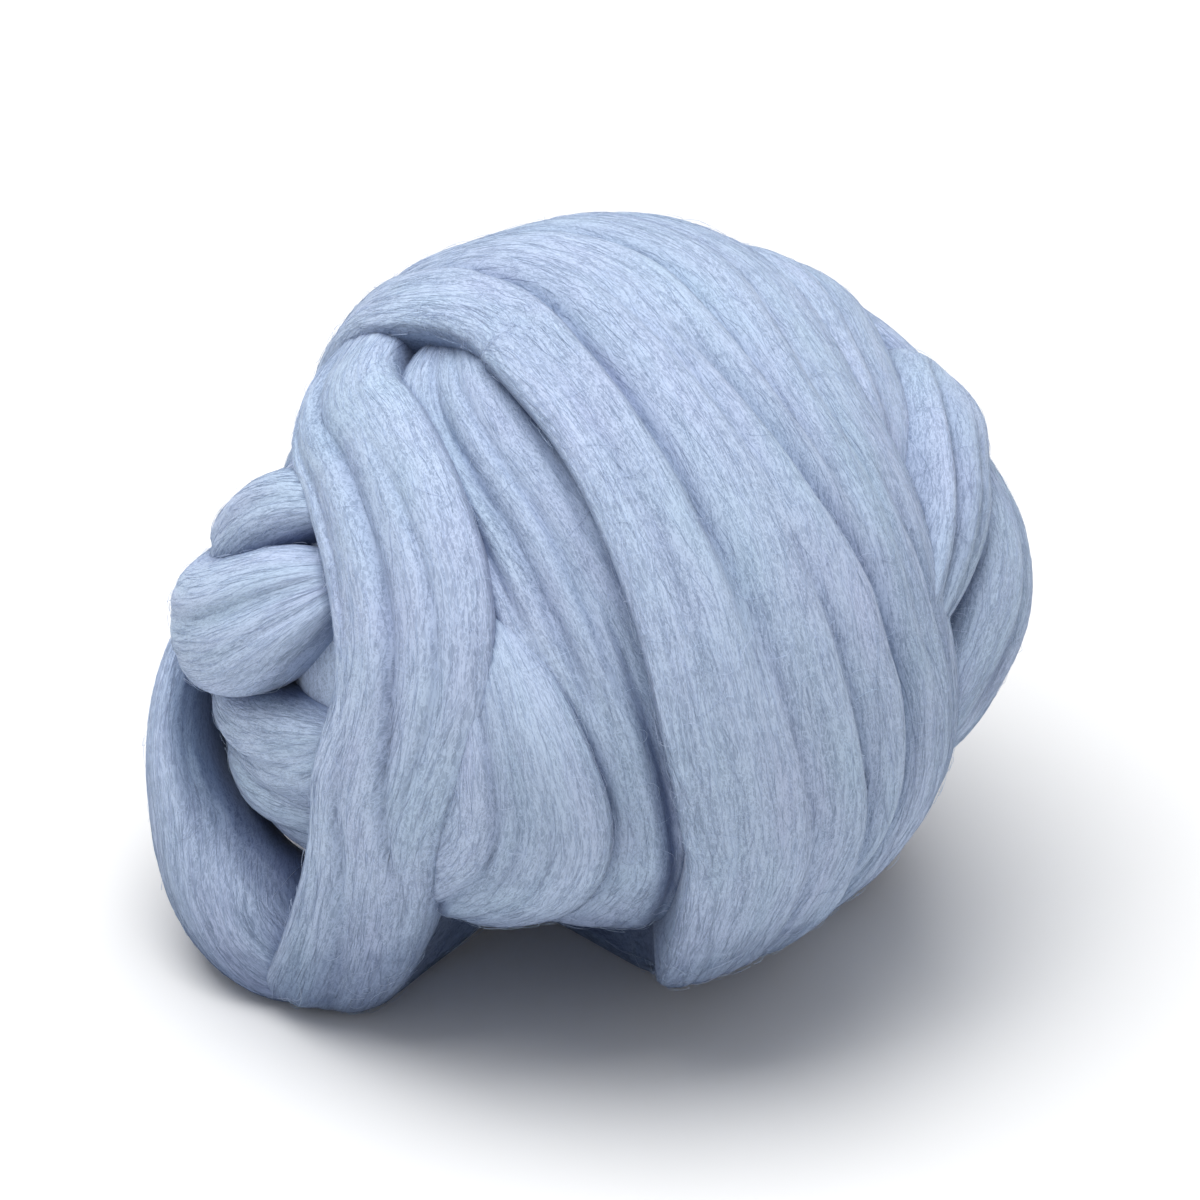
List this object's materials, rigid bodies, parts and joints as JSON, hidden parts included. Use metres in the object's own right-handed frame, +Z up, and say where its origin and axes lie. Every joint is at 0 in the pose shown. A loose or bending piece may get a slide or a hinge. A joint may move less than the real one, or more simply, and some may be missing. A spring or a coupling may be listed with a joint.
{
  "type": "wool roving ball",
  "caption": "Loose, uneven ball hand-wound from a length of combed wool top, light blue-grey, with broad creased bands, coiled ends and a flattened underside.",
  "frame": {"origin": "centre of the bounding box at the bottom, on the surface the ball rests on", "axes": "+Z up; the face that shows the broad front band looks along -Y, with its coiled end towards -X"},
  "size_m": [0.1776, 0.1798, 0.1451],
  "materials": {
    "combed_wool": "matt combed fibre, light blue-grey"
  },
  "bodies": {
    "root": {"roving_ball": "combed_wool"}
  },
  "joints": []
}
